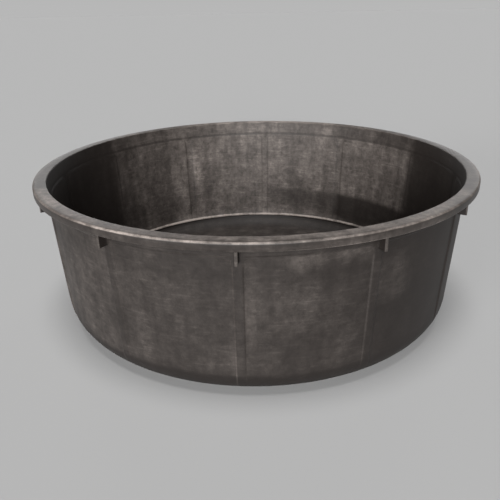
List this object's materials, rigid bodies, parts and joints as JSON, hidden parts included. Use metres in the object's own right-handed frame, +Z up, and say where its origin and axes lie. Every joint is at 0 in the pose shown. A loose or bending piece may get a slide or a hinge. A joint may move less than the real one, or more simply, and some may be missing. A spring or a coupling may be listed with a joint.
{
  "type": "mortar mixing tub",
  "caption": "Wide shallow round tub of black plastic for mixing mortar, with a drafted wall, rounded corner, flat floor and a turned-down rim braced by gussets.",
  "frame": {"origin": "centre of the floor's underside, on the tub's axis", "axes": "+Z up along the tub's axis; -Y towards the gusset nearest the viewer"},
  "size_m": [0.75, 0.75, 0.25],
  "materials": {
    "tub_plastic": "satin black moulded polyethylene, dusty and lightly scuffed from use"
  },
  "bodies": {
    "root": {"floor_plate": "tub_plastic", "corner_ring": "tub_plastic", "floor_bead": "tub_plastic", "tub_wall": "tub_plastic", "wall_shoulder": "tub_plastic", "rim_flange": "tub_plastic", "rim_skirt": "tub_plastic", "wall_rib_01": "tub_plastic", "wall_rib_02": "tub_plastic", "wall_rib_03": "tub_plastic", "wall_rib_04": "tub_plastic", "wall_rib_05": "tub_plastic", "wall_rib_06": "tub_plastic", "wall_rib_07": "tub_plastic", "wall_rib_08": "tub_plastic", "wall_rib_09": "tub_plastic", "wall_rib_10": "tub_plastic", "wall_rib_11": "tub_plastic", "wall_rib_12": "tub_plastic", "rim_gusset_01": "tub_plastic", "rim_gusset_02": "tub_plastic", "rim_gusset_03": "tub_plastic", "rim_gusset_04": "tub_plastic", "rim_gusset_05": "tub_plastic", "rim_gusset_06": "tub_plastic", "rim_gusset_07": "tub_plastic", "rim_gusset_08": "tub_plastic", "rim_gusset_09": "tub_plastic", "rim_gusset_10": "tub_plastic", "rim_gusset_11": "tub_plastic", "rim_gusset_12": "tub_plastic"}
  },
  "joints": []
}
